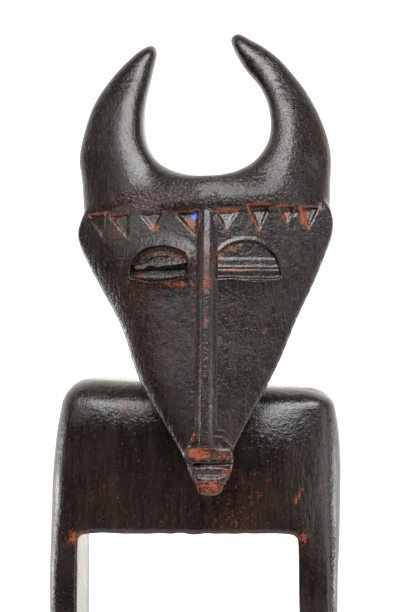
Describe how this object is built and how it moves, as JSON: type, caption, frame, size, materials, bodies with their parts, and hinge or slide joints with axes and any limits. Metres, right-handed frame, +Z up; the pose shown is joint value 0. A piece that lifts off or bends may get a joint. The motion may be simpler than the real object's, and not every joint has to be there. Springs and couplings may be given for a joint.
{
  "type": "carved wooden heddle pulley with horned mask head",
  "caption": "Carved wooden loom pulley: a horned mask head with a long face over a square-shouldered stirrup frame that stands on its legs.",
  "frame": {"origin": "middle of the footprint, on the plane that the two feet stand on", "axes": "+Z up through the head to the horns, -Y the way the face looks, +X to the right as the face is seen from the front"},
  "size_m": [0.0616, 0.0411, 0.1709],
  "materials": {
    "dark_wood": "brown-black handled patina, glossy on the rounded parts, with reddish wood showing in cuts and on rubbed edges"
  },
  "bodies": {
    "root": {"carved_pulley": "dark_wood"}
  },
  "joints": []
}
